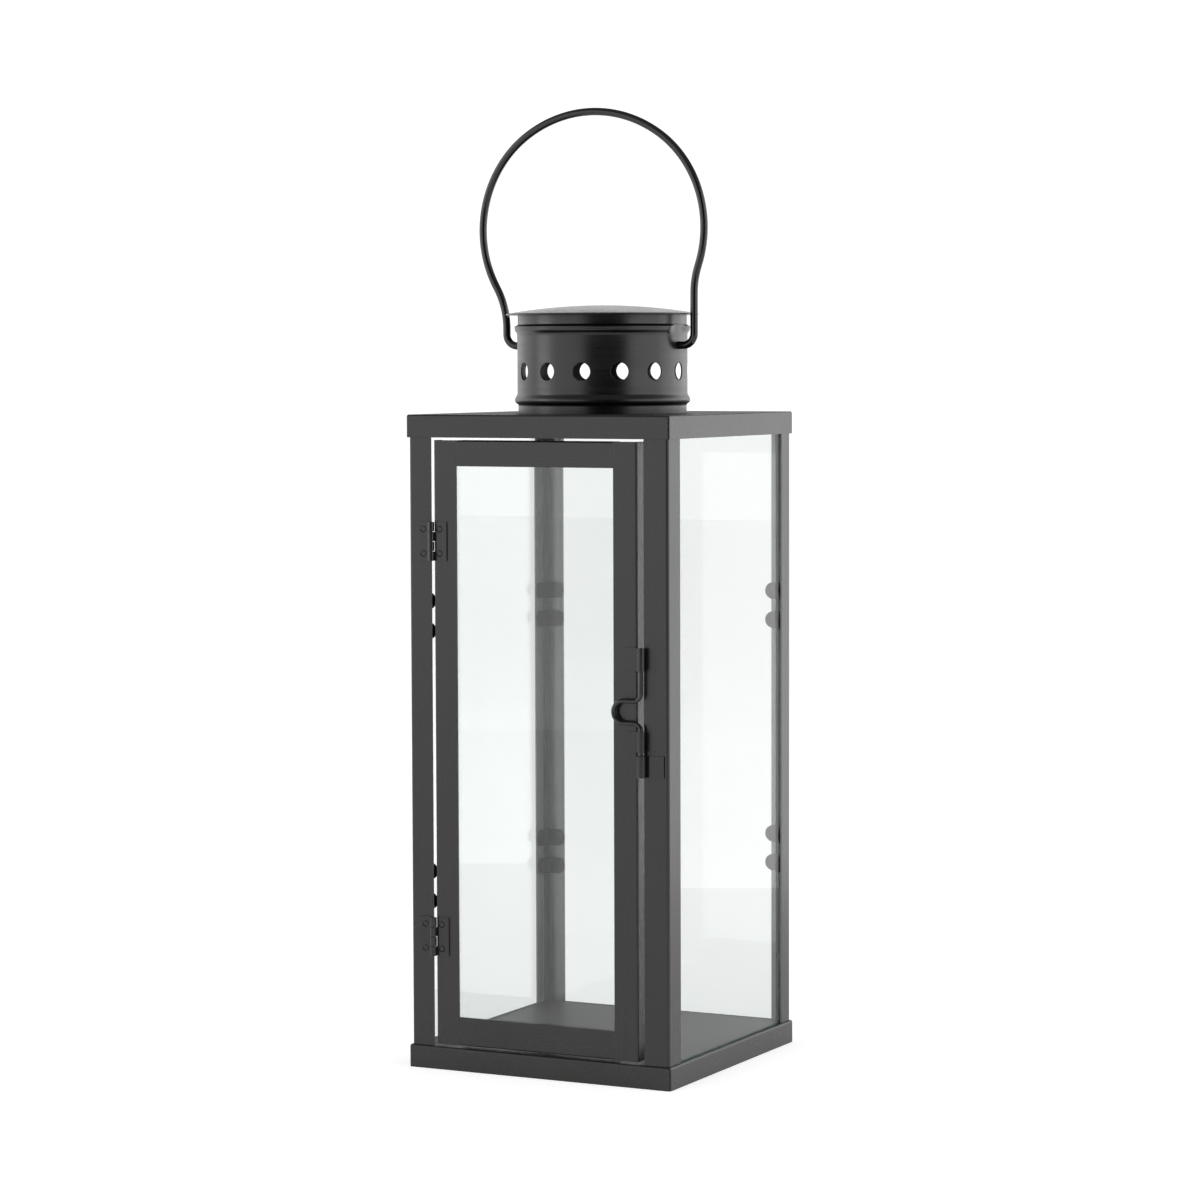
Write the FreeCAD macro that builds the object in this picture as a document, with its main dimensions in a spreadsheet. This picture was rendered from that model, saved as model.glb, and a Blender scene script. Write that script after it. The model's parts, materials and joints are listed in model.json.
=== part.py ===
import FreeCAD, Part
import math
import os

import Sketcher

V = FreeCAD.Vector
X_AXIS = V(1, 0, 0)
Y_AXIS = V(0, 1, 0)
Z_AXIS = V(0, 0, 1)

doc = FreeCAD.newDocument("candle_lantern")

# ---------------------------------------------------------------- driving dimensions, millimetres
# Origin: centre of the square foot, on the surface the lantern stands on. +Z up, the door faces -Y.
DIMENSIONS = {
    # folded sheet pans: the tray is an upside-down pan, the roof another one that caps the posts
    "sheet": 0.9,
    "base_width": 158.0,
    "base_height": 12.4,
    "roof_width": 157.6,
    "roof_top": 355.0,
    "roof_skirt": 12.3,
    "fold_round": 1.1,
    "seam_width": 0.5,
    "seam_depth": 0.7,
    # corner posts, equal angles
    "post_half": 77.75,
    "post_leg": 13.5,
    "post_fold_round": 1.6,
    "latch_post_leg": 14.3,
    "back_right_post_leg": 11.8,
    # fixed panes
    "glass": 2.0,
    "pane_half": 73.0,
    "back_pane_right": 69.5,
    "pane_gap": 0.5,
    # bent strips that press the panes against the posts
    "clip_sheet": 0.8,
    "clip_height": 9.2,
    "clip_reach": 14.6,
    "clip_pair": 16.3,
    "clip_foot": 4.0,
    # door: angle-section stiles and rails
    "door_left": -62.5,
    "door_right": 59.5,
    "door_bottom": 13.8,
    "door_top": 341.3,
    "stile_width": 13.9,
    "rail_top_width": 13.9,
    "rail_bottom_width": 15.5,
    "door_return": 8.0,
    "door_pane_play": 0.4,
    "tab_width": 8.0,
    "tab_reach": 6.5,
    # butt hinges
    "hinge_x": -63.3,
    "hinge_height": 21.2,
    "hinge_upper": 286.9,
    "hinge_lower": 72.6,
    "hinge_leaf": 8.9,
    "hinge_sheet": 0.7,
    "hinge_knuckle": 1.85,
    "hinge_pin": 0.95,
    "hinge_play": 0.06,
    "hinge_swing_gap": 0.35,
    "knuckle_gap": 0.3,
    "rivet_shank": 0.95,
    "rivet_hole": 1.0,
    "rivet_head": 1.45,
    "rivet_recess": 0.15,
    "countersink": 1.9,
    "rivet_post": 5.4,
    "rivet_door": 4.5,
    "rivet_apart": 13.2,
    # bent-wire bolt and its three rolled guides
    "bolt_x": 63.0,
    "bolt_y": -80.4,
    "bolt_wire": 1.2,
    "bolt_play": 0.08,
    "bolt_low": 166.0,
    "bolt_high": 232.6,
    "bolt_run_high": 205.4,
    "bolt_run_low": 193.7,
    "bolt_loop": 52.6,
    "bolt_bend": 4.2,
    "guide_upper_low": 221.5,
    "guide_upper_high": 233.4,
    "guide_lower_low": 178.7,
    "guide_lower_high": 189.3,
    "guide_outer": 2.3,
    "guide_sheet": 0.7,
    "guide_leaf": 10.3,
    "keeper_low": 165.2,
    "keeper_high": 176.8,
    "keeper_outer": 2.6,
    "keeper_bore": 1.75,
    "keeper_leaf": 12.3,
    # chimney collar, one beaded tube clinched into the roof
    "collar_wall": 0.8,
    "collar_body": 46.6,
    "collar_neck": 46.1,
    "collar_bead": 48.2,
    "bead_shoulder": 47.6,
    "collar_hem": 47.4,
    "collar_top": 409.4,
    "bead_low": 360.0,
    "bead_high": 404.4,
    "bead_undercut": 1.4,
    "bead_crest": 2.0,
    "bead_crest_round": 1.3,
    "bead_rise": 6.4,
    "vent_height": 377.8,
    "vent_radius": 4.85,
    "pivot_height": 391.8,
    "pivot_play": 0.1,
    "dimple_low": 395.5,
    "dimple_spread": 23.0,
    # domed lid
    "lid_radius": 52.7,
    "lid_rim": 408.3,
    "lid_rise": 4.6,
    # wire bail, a three-centred loop on two legs that spring into the collar
    "bail_wire": 2.1,
    "bail_left": 59.4,
    "bail_right": 55.7,
    "bail_end": 40.0,
    "bail_foot": 6.4,
    "bail_flare": 45.0,
    "bail_offset": -6.2,
    "bail_side_height": 455.4,
    "bail_side": 62.0,
    "bail_crown": 72.3,
    "bail_crown_half_angle": 35.0,
}
VENT_COUNT = 14
KNUCKLE_COUNT = 4
TAB_HEIGHTS = (60.0, 178.0, 295.0)
POST_NAMES = ("front_left", "front_right", "back_right", "back_left")
# the post that takes the latch is a little wider than the others, the one behind it narrower
POST_LEGS = {"front_right": "latch_post_leg", "back_right": "back_right_post_leg"}
# middle heights of the upper and lower clip pair on each post, in the order of POST_NAMES
CLIP_HEIGHTS = ((246.3, 99.3), (254.6, 108.8), (246.7, 110.0), (243.4, 100.0))

cells = doc.addObject("Spreadsheet::Sheet", "Dims")
for row, (alias, value) in enumerate(DIMENSIONS.items(), start=1):
    cells.set("A%d" % row, alias)
    cells.set("B%d" % row, str(value))
    cells.setAlias("B%d" % row, alias)
doc.recompute()


class Size:
    """A length together with the expression that gives it from the sheet's cells."""

    def __init__(self, value, text=None):
        self.value = float(value)
        self.text = text or "(%.6f)" % self.value

    def joined(self, other, sign, value):
        return Size(value, "(%s %s %s)" % (self.text, sign, other.text))

    def __add__(self, other):
        other = as_size(other)
        return self.joined(other, "+", self.value + other.value)

    def __sub__(self, other):
        other = as_size(other)
        return self.joined(other, "-", self.value - other.value)

    def __mul__(self, other):
        other = as_size(other)
        return self.joined(other, "*", self.value * other.value)

    def __truediv__(self, other):
        other = as_size(other)
        return self.joined(other, "/", self.value / other.value)

    def __neg__(self):
        return Size(0) - self


def as_size(value):
    return value if isinstance(value, Size) else Size(value)


def d(alias):
    """One cell of the sheet."""
    return Size(cells.get(alias), "Dims." + alias)


# ---------------------------------------------------------------- builders
sub_parts = []


def keep(obj, label):
    """Notes a finished sub-part under the label that names its file."""
    obj.Label = label
    sub_parts.append(obj)
    return obj


def new_body(label):
    return keep(doc.addObject("PartDesign::Body", label + "_body"), label)


def new_sketch(body, name, role, offset=0):
    """A sketch on one of the body's origin planes, moved along the plane's normal."""
    plane = next(f for f in body.Origin.OriginFeatures if f.Role == role)
    sketch = body.newObject("Sketcher::SketchObject", name)
    sketch.AttachmentSupport = [(plane, "")]
    sketch.MapMode = "FlatFace"
    sketch.setExpression("AttachmentOffset.Base.z", as_size(offset).text)
    return sketch


def tie(sketch, kind, size, *geometry):
    """One dimension of a sketch, bound to its expression."""
    index = sketch.addConstraint(Sketcher.Constraint(kind, *geometry, size.value))
    sketch.setExpression("Constraints[%d]" % index, size.text)


def tie_point(sketch, u, v, shape, point):
    tie(sketch, "DistanceX", u, -1, 1, shape, point)
    tie(sketch, "DistanceY", v, -1, 1, shape, point)


def arc_between(start, end, radius):
    """The arc from start to end, turning left where the radius is positive and right where negative."""
    chord = end - start
    height = math.sqrt(radius * radius - chord.Length**2 / 4)
    side = V(-chord.y, chord.x, 0).normalize() * math.copysign(1, radius)
    centre = (start + end) * 0.5 + side * height
    middle = centre - side * abs(radius)
    return Part.Arc(start, middle, end)


def path(sketch, steps, closed=True):
    """Joined lines and arcs through the steps: (u, v) ends a line, (u, v, radius) ends an arc."""
    steps = [tuple(as_size(value) for value in step) for step in steps]
    points = [V(step[0].value, step[1].value, 0) for step in steps]
    spans = len(steps) if closed else len(steps) - 1
    first_ends = []
    for i in range(spans):
        target = (i + 1) % len(steps)
        bend = steps[target][2:]
        start, end = points[i], points[target]
        sketch.addGeometry(arc_between(start, end, bend[0].value) if bend else Part.LineSegment(start, end))
        first_ends.append(1 if sketch.getPoint(i, 1).distanceToPoint(start) < 1e-6 else 2)
        tie_point(sketch, steps[i][0], steps[i][1], i, first_ends[i])
        if bend:
            tie(sketch, "Radius", bend[0] if bend[0].value > 0 else -bend[0], i)
    if not closed:
        tie_point(sketch, steps[-1][0], steps[-1][1], spans - 1, 3 - first_ends[-1])
    for i in range(spans if closed else spans - 1):
        after = (i + 1) % spans
        sketch.addConstraint(Sketcher.Constraint("Coincident", i, 3 - first_ends[i], after, first_ends[after]))
    return sketch


def rectangle(sketch, low_u, low_v, high_u, high_v):
    return path(sketch, ((low_u, low_v), (high_u, low_v), (high_u, high_v), (low_u, high_v)))


def circle(sketch, u, v, radius):
    u, v = as_size(u), as_size(v)
    shape = sketch.addGeometry(Part.Circle(V(u.value, v.value, 0), Z_AXIS, radius.value))
    tie_point(sketch, u, v, shape, 3)
    tie(sketch, "Radius", radius, shape)
    return sketch


def pad(body, name, sketch, length):
    feature = body.newObject("PartDesign::Pad", name)
    feature.Profile = sketch
    feature.setExpression("Length", length.text)
    doc.recompute()
    return feature


def pocket(body, name, sketch, length, along_normal=False, both_ways=False):
    """A blind pocket. One that meets no metal is a mistake, so the volume has to drop."""
    before = body.Shape.Volume
    feature = body.newObject("PartDesign::Pocket", name)
    feature.Profile = sketch
    feature.setExpression("Length", as_size(length).text)
    feature.Reversed = along_normal
    feature.Midplane = both_ways
    doc.recompute()
    if body.Shape.Volume > before - 1e-3:
        raise RuntimeError(name + " cuts nothing")
    return feature


def turn(body, name, sketch, kind="Revolution", angle=None):
    """Turns a profile about the sketch's upright axis, all the way round or over an angle."""
    feature = body.newObject("PartDesign::" + kind, name)
    feature.Profile = sketch
    feature.ReferenceAxis = (sketch, ["V_Axis"])
    feature.Angle = 360.0
    if angle is not None:
        feature.Midplane = True
        feature.setExpression("Angle", angle.text)
    doc.recompute()
    return feature


def round_edges(body, name, base, edges, radius):
    feature = body.newObject("PartDesign::Fillet", name)
    feature.Base = (base, edges)
    feature.setExpression("Radius", radius.text)
    doc.recompute()
    return feature


def edges_where(shape, wanted):
    """Names of the edges whose middle point and direction satisfy wanted(middle, direction)."""
    found = []
    for index, edge in enumerate(shape.Edges, start=1):
        middle = edge.valueAt((edge.FirstParameter + edge.LastParameter) / 2)
        if wanted(middle, edge.tangentAt(edge.FirstParameter)):
            found.append("Edge%d" % index)
    return found


def same(a, b):
    return abs(a - b) < 1e-3


def is_upright(direction):
    return same(abs(direction.z), 1)


def pipe(body, name, route, section):
    feature = body.newObject("PartDesign::AdditivePipe", name)
    feature.Profile = section
    feature.Spine = (route, [])
    doc.recompute()
    return feature


def repeat_round(body, name, feature, count):
    """Repeats a feature evenly round the body's Z axis and makes the pattern the body's last feature."""
    ring = body.newObject("PartDesign::PolarPattern", name)
    ring.Originals = [feature]
    ring.Axis = (next(f for f in body.Origin.OriginFeatures if f.Role == "Z_Axis"), [""])
    ring.Angle = 360.0
    ring.Occurrences = count
    body.Tip = ring
    doc.recompute()


def box(name, low, high):
    """A Part::Box between two corners."""
    shape = doc.addObject("Part::Box", name)
    for axis, side, a, b in zip("xyz", ("Length", "Width", "Height"), low, high):
        a, b = as_size(a), as_size(b)
        shape.setExpression("Placement.Base." + axis, a.text)
        shape.setExpression(side, (b - a).text)
    return shape


def rod(name, base, radius, height, axis=Z_AXIS, tip=None):
    """A Part::Cylinder, or a Part::Cone where a tip radius is given, standing on base along an axis."""
    shape = doc.addObject("Part::Cylinder" if tip is None else "Part::Cone", name)
    shape.Placement = FreeCAD.Placement(V(), FreeCAD.Rotation(Z_AXIS, axis))
    for letter, size in zip("xyz", base):
        shape.setExpression("Placement.Base." + letter, as_size(size).text)
    shape.setExpression("Radius" if tip is None else "Radius1", radius.text)
    if tip is not None:
        shape.setExpression("Radius2", tip.text)
    shape.setExpression("Height", as_size(height).text)
    return shape


def fuse(name, shapes):
    joined = doc.addObject("Part::MultiFuse", name)
    joined.Shapes = shapes
    joined.Refine = True
    return joined


def cut(name, base, tool):
    result = doc.addObject("Part::Cut", name)
    result.Base = base
    result.Tool = tool
    return result


def group(label, shapes):
    """Identical loose pieces in one node, each a solid of its own."""
    together = doc.addObject("Part::Compound", label + "_group")
    together.Links = shapes
    return keep(together, label)


def linked_copy(source, name, placement):
    copy = doc.addObject("App::Link", name)
    copy.LinkedObject = source
    copy.Placement = placement
    return copy


# ---------------------------------------------------------------- shared planes
sheet = d("sheet")
face = -d("post_half")  # front face of posts and door
behind_sheet = face + sheet
behind_glass = behind_sheet + d("glass")
roof_under = d("roof_top") - sheet


# ---------------------------------------------------------------- folded pans
def folded_pan(label, half, low, high):
    """A square sheet pan, plate on top and skirt folded down, its rounded corners grooved by a seam."""
    body = new_body(label)
    outline = rectangle(new_sketch(body, label + "_outline", "XY_Plane", low), -half, -half, half, half)
    block = pad(body, label + "_block", outline, high - low)
    outer_folds = edges_where(block.Shape, lambda at, along: is_upright(along) or same(at.z, high.value))
    round_edges(body, label + "_folds", block, outer_folds, d("fold_round"))
    inner = half - sheet
    mouth = new_sketch(body, label + "_mouth", "XY_Plane", low)
    rectangle(mouth, -inner, -inner, inner, inner)
    pocket(body, label + "_inside", mouth, high - low - sheet, along_normal=True)
    slit = new_sketch(body, label + "_slit", "XY_Plane", low)
    # half the groove's width, measured along X and Y because the groove lies at 45 degrees
    across = d("seam_width") * math.sqrt(1 / 8)
    start, end = half - d("seam_depth"), half + sheet
    path(slit, ((start + across, across - start), (start - across, -start - across),
                (end - across, -end - across), (end + across, across - end)))
    seam = pocket(body, label + "_seam", slit, high - low - d("fold_round"), along_normal=True)
    repeat_round(body, label + "_seams", seam, 4)
    return body


def build_tray():
    folded_pan("base_tray", d("base_width") / 2, Size(0), d("base_height"))


def build_roof():
    top = d("roof_top")
    body = folded_pan("roof_cap", d("roof_width") / 2, top - d("roof_skirt"), top)
    hole = circle(new_sketch(body, "roof_hole", "XY_Plane", top), 0, 0, d("collar_neck"))
    pocket(body, "roof_opening", hole, sheet * 2)


# ---------------------------------------------------------------- corner posts
def rivet_places(side):
    """Centres (x, z) of the four rivets on one side of the hinges, -1 on the post, +1 on the door."""
    x = d("hinge_x") - d("rivet_post") if side < 0 else d("hinge_x") + d("rivet_door")
    step = d("rivet_apart") / 2
    return [(x, d(hinge) + step * up) for hinge in ("hinge_upper", "hinge_lower") for up in (1, -1)]


def rivet_holes(body, label, side):
    holes = new_sketch(body, label + "_holes", "XZ_Plane", -face)
    for x, z in rivet_places(side):
        circle(holes, x, z, d("rivet_hole"))
    pocket(body, label + "_rivet_holes", holes, sheet * 3, both_ways=True)


def build_posts():
    """Four angles, drawn at the front left corner and turned to each corner in turn."""
    for quarter, name in enumerate(POST_NAMES):
        label = "post_" + name
        body = new_body(label)
        leg = face + d(POST_LEGS.get(name, "post_leg"))
        outline = new_sketch(body, label + "_outline", "XY_Plane", d("base_height"))
        path(outline, ((face, face), (leg, face), (leg, behind_sheet), (behind_sheet, behind_sheet),
                       (behind_sheet, leg), (face, leg)))
        angle = pad(body, label + "_angle", outline, roof_under - d("base_height"))
        fold = edges_where(angle.Shape, lambda at, along: same(at.x, face.value) and same(at.y, face.value))
        round_edges(body, label + "_fold", angle, fold, d("post_fold_round"))
        if quarter == 0:
            rivet_holes(body, label, -1)
        body.Placement = FreeCAD.Placement(V(), FreeCAD.Rotation(Z_AXIS, 90 * quarter))


# ---------------------------------------------------------------- fixed glass and its clips
def build_panes():
    half = d("pane_half")
    low = d("base_height")
    high = roof_under - d("pane_gap")
    outer = -behind_sheet
    inner = -behind_glass
    keep(box("left_pane", (-outer, -half, low), (-inner, half, high)), "glass_left")
    keep(box("right_pane", (inner, -half, low), (outer, half, high)), "glass_right")
    keep(box("back_pane", (-half, inner, low), (d("back_pane_right"), outer, high)), "glass_back")


def clip_arm(name, along_y):
    """One arm of a clip: a flat strip with a round end, lying against the inside of a pane."""
    start = behind_glass
    thick = start + d("clip_sheet")
    end = face + d("clip_reach") - d("clip_height") / 2
    half = d("clip_height") / 2
    low = (start, start, -half)
    high = (thick, end, half) if along_y else (end, thick, half)
    axis = X_AXIS if along_y else Y_AXIS
    tip = (start, end, 0) if along_y else (end, start, 0)
    return [box(name, low, high), rod(name + "_tip", tip, half, d("clip_sheet"), axis)]


def build_clips():
    """Bent strips, two close pairs on each post, each tacked into the post's inner corner by a foot."""
    half_foot = d("clip_foot") / 2
    inside = behind_glass + d("clip_sheet")
    foot = box("clip_foot_block", (behind_sheet, behind_sheet, -half_foot), (inside, inside, half_foot))
    clip = fuse("clip", clip_arm("clip_side", True) + clip_arm("clip_front", False) + [foot])
    for quarter, (name, heights) in enumerate(zip(POST_NAMES, CLIP_HEIGHTS)):
        copies = []
        turned = FreeCAD.Rotation(Z_AXIS, 90 * quarter)
        for middle in heights:
            for step in (-0.5, 0.5):
                height = middle + step * d("clip_pair").value
                place = FreeCAD.Placement(V(0, 0, height), turned)
                copies.append(linked_copy(clip, "clip_%s_%d" % (name, len(copies)), place))
        group("glass_clips_" + name, copies)


# ---------------------------------------------------------------- door
def build_stiles():
    depth = face + d("door_return")
    for side, edge, inward in (("left", d("door_left"), 1), ("right", d("door_right"), -1)):
        label = "door_stile_" + side
        body = new_body(label)
        outline = new_sketch(body, label + "_outline", "XY_Plane", d("door_bottom"))
        inner = edge + d("stile_width") * inward
        skin = edge + sheet * inward
        path(outline, ((edge, face), (inner, face), (inner, behind_sheet), (skin, behind_sheet),
                       (skin, depth), (edge, depth)))
        angle = pad(body, label + "_angle", outline, d("door_top") - d("door_bottom"))
        fold = edges_where(angle.Shape, lambda at, along: same(at.x, edge.value) and same(at.y, face.value))
        round_edges(body, label + "_fold", angle, fold, d("fold_round"))
        if side == "left":
            rivet_holes(body, label, 1)


def build_rails():
    depth = face + d("door_return")
    start = d("door_left") + d("stile_width")
    length = d("door_right") - d("stile_width") - start
    rails = (("top", d("door_top"), d("rail_top_width"), -1), ("bottom", d("door_bottom"), d("rail_bottom_width"), 1))
    for end, edge, width, inward in rails:
        label = "door_rail_" + end
        body = new_body(label)
        outline = new_sketch(body, label + "_outline", "YZ_Plane", start)
        inner = edge + width * inward
        skin = edge + sheet * inward
        path(outline, ((face, edge), (depth, edge), (depth, skin), (behind_sheet, skin),
                       (behind_sheet, inner), (face, inner)))
        angle = pad(body, label + "_angle", outline, length)
        fold = edges_where(angle.Shape, lambda at, along: same(at.z, edge.value) and same(at.y, face.value))
        round_edges(body, label + "_fold", angle, fold, d("fold_round"))


def build_door_glass():
    inset = sheet + d("door_pane_play")
    low = (d("door_left") + inset, behind_sheet, d("door_bottom") + inset)
    high = (d("door_right") - inset, behind_glass, d("door_top") - inset)
    keep(box("door_pane", low, high), "door_glass")
    tabs = []
    for height in TAB_HEIGHTS:
        for side, edge, inward in (("left", d("door_left"), 1), ("right", d("door_right"), -1)):
            root = edge + sheet * inward
            tip = root + d("tab_reach") * inward
            west, east = (root, tip) if inward > 0 else (tip, root)
            low = (west, behind_glass, height - d("tab_width").value / 2)
            high = (east, behind_glass + d("clip_sheet"), height + d("tab_width").value / 2)
            tabs.append(box("tab_%s_%d" % (side, height), low, high))
    group("door_glass_tabs", tabs)


# ---------------------------------------------------------------- hinges
def hinge_leaf(label, middle, side):
    """A leaf with two of the four knuckles: the post's side, -1, has the first and third from the top."""
    x = d("hinge_x")
    pin_line = face - d("hinge_knuckle")
    front = face - d("hinge_sheet")
    half = d("hinge_height") / 2
    clear = x + (d("hinge_knuckle") + d("hinge_swing_gap")) * side
    outer = x + d("hinge_leaf") * side
    west, east = (outer, clear) if side < 0 else (clear, outer)
    pieces = [box(label + "_plate", (west, front, middle - half), (east, face, middle + half))]
    pitch = d("hinge_height") / KNUCKLE_COUNT
    west, east = (clear, x) if side < 0 else (x, clear)
    for step in range(0 if side < 0 else 1, KNUCKLE_COUNT, 2):
        high = middle + half - pitch * step - d("knuckle_gap") / 2
        low = high - pitch + d("knuckle_gap")
        pieces.append(box("%s_neck_%d" % (label, step), (west, front, low), (east, face, high)))
        pieces.append(rod("%s_knuckle_%d" % (label, step), (x, pin_line, low), d("hinge_knuckle"), high - low))
    bore = d("hinge_pin") + d("hinge_play")
    tools = [rod(label + "_bore", (x, pin_line, middle - half), bore, d("hinge_height"))]
    holes = [(hx, hz) for hx, hz in rivet_places(side) if abs(hz.value - middle.value) < half.value]
    for count, (hole_x, hole_z) in enumerate(holes):
        name = "%s_hole_%d" % (label, count)
        base = (hole_x, face, hole_z)
        tools.append(rod(name, base, d("rivet_hole"), d("hinge_sheet") * 2, -Y_AXIS))
        tools.append(rod(name + "_sink", base, d("rivet_hole"), d("hinge_sheet"), -Y_AXIS, d("countersink")))
    leaf = cut(label + "_cut", fuse(label + "_blank", pieces), fuse(label + "_tools", tools))
    keep(leaf, label)


def build_hinges():
    for end in ("upper", "lower"):
        middle = d("hinge_" + end)
        hinge_leaf("hinge_%s_post_leaf" % end, middle, -1)
        hinge_leaf("hinge_%s_door_leaf" % end, middle, 1)
        base = (d("hinge_x"), face - d("hinge_knuckle"), middle - d("hinge_height") / 2)
        keep(rod("pin_" + end, base, d("hinge_pin"), d("hinge_height")), "hinge_%s_pin" % end)


def build_rivets():
    """Countersunk rivets, set a little below the leaves they hold, their shanks through the sheet."""
    for label, side in (("hinge_rivets_post", -1), ("hinge_rivets_door", 1)):
        rivets = []
        depth = d("hinge_sheet") - d("rivet_recess")
        for count, (x, z) in enumerate(rivet_places(side)):
            name = "%s_%d" % (label, count)
            shank = rod(name + "_shank", (x, behind_sheet, z), d("rivet_shank"), sheet + depth, -Y_AXIS)
            head = rod(name + "_head", (x, face, z), d("rivet_shank"), depth, -Y_AXIS, d("rivet_head"))
            rivets.append(fuse(name, [shank, head]))
        group(label, rivets)


# ---------------------------------------------------------------- bolt latch
def rolled_guide(label, low, high, outer, bore, leaf, side):
    """A strip rolled round the bolt, its leaf lying on the door, -1, or on the post, +1."""
    x, y = d("bolt_x"), d("bolt_y")
    west, east = (x - leaf, x) if side < 0 else (x, x + leaf)
    plate = box(label + "_leaf", (west, face - d("guide_sheet"), low), (east, face, high))
    roll = rod(label + "_roll", (x, y, low), outer, high - low)
    hole = rod(label + "_bore", (x, y, low), bore, high - low)
    keep(cut(label + "_cut", fuse(label + "_blank", [plate, roll]), hole), label)


def build_guides():
    bore = d("bolt_wire") + d("bolt_play")
    for end in ("upper", "lower"):
        low, high = d("guide_%s_low" % end), d("guide_%s_high" % end)
        rolled_guide("latch_guide_" + end, low, high, d("guide_outer"), bore, d("guide_leaf"), -1)
    rolled_guide("latch_keeper", d("keeper_low"), d("keeper_high"), d("keeper_outer"), d("keeper_bore"),
                 d("keeper_leaf"), 1)


def build_bolt():
    """One length of wire: straight shank, finger loop towards the glass, straight shank."""
    body = new_body("latch_bolt")
    x, bend = d("bolt_x"), d("bolt_bend")
    upper, lower = d("bolt_run_high"), d("bolt_run_low")
    loop, turn_round = d("bolt_loop"), (upper - lower) / 2
    route = new_sketch(body, "bolt_route", "XZ_Plane", -d("bolt_y"))
    path(route, ((x, d("bolt_high")), (x, upper + bend), (x - bend, upper, -bend), (loop, upper),
                 (loop - turn_round, lower + turn_round, turn_round), (loop, lower, turn_round),
                 (x - bend, lower), (x, lower - bend, -bend), (x, d("bolt_low"))), closed=False)
    section = circle(new_sketch(body, "bolt_section", "XY_Plane", d("bolt_high")), x, d("bolt_y"), d("bolt_wire"))
    pipe(body, "bolt_pipe", route, section)


# ---------------------------------------------------------------- chimney, lid and bail
def build_collar():
    """A tube with an outward bead near each end, an open ring of vents and two holes for the bail."""
    body = new_body("chimney_collar")
    wall = d("collar_wall")
    neck, wide, bead = d("collar_neck"), d("collar_body"), d("collar_bead")
    low, high = d("bead_low"), d("bead_high")
    lip, crest, rise = d("bead_undercut"), d("bead_crest"), d("bead_rise")
    shoulder = d("bead_shoulder")
    hem = roof_under - sheet
    outer = (
        (neck - wall, hem), (d("collar_hem"), hem), (d("collar_hem"), roof_under), (neck, roof_under),
        (neck, low), (shoulder, low + lip), (shoulder, low + lip + crest, d("bead_crest_round")),
        (wide, low + rise), (wide, high - rise), (shoulder, high - lip - crest),
        (shoulder, high - lip, d("bead_crest_round")), (neck, high), (neck, d("collar_top")),
    )
    inner = (
        (neck - wall, d("collar_top")), (neck - wall, high - lip), (wide - wall, high - lip - crest),
        (wide - wall, low + lip + crest), (neck - wall, low + lip),
    )
    turn(body, "collar_tube", path(new_sketch(body, "collar_profile", "XZ_Plane"), outer + inner))
    for side in (1, -1):
        # the bead is pressed flat round each bail hole: cut away, then closed with plain wall
        flat = new_sketch(body, "bead_cut_%d" % (side + 1), "XZ_Plane")
        rectangle(flat, wide * side, d("dimple_low"), (bead + wall) * side, high)
        turn(body, "bead_flat_%d" % (side + 1), flat, "Groove", d("dimple_spread"))
        patch = new_sketch(body, "patch_profile_%d" % (side + 1), "XZ_Plane")
        rectangle(patch, (wide - wall) * side, d("dimple_low"), wide * side, high - lip / 2)
        turn(body, "bead_patch_%d" % (side + 1), patch, "Revolution", d("dimple_spread"))
    holes = circle(new_sketch(body, "pivot_circles", "YZ_Plane"), 0, d("pivot_height"), d("bail_wire") + d("pivot_play"))
    pocket(body, "pivot_holes", holes, d("collar_bead") * 3, both_ways=True)
    vent = circle(new_sketch(body, "vent_circle", "YZ_Plane"), 0, d("vent_height"), d("vent_radius"))
    first = pocket(body, "vent", vent, bead * 2)
    repeat_round(body, "vents", first, VENT_COUNT)


def cap_radius(half_width, rise):
    """Radius of the arc that spans twice half_width and rises by rise."""
    return (half_width * half_width + rise * rise) / (rise * 2)


def build_lid():
    """A shallow dome of sheet that rests on the collar's top edge and overhangs it."""
    body = new_body("lid_dome")
    rim, edge, rise = d("lid_radius"), d("lid_rim"), d("lid_rise")
    radius = cap_radius(rim, rise)
    profile = new_sketch(body, "lid_profile", "XZ_Plane")
    path(profile, ((0, edge + rise), (rim, edge, -radius), (rim, edge + sheet), (0, edge + rise + sheet, radius)))
    turn(body, "lid_shell", profile)


def flare_start(leg, side_x, flare):
    """Height at which a leg leaves the vertical so that its flare runs smoothly into the loop's side."""
    reach = d("bail_side").value + flare
    return d("bail_side_height").value - math.sqrt(reach**2 - (leg + flare - side_x) ** 2)


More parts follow.
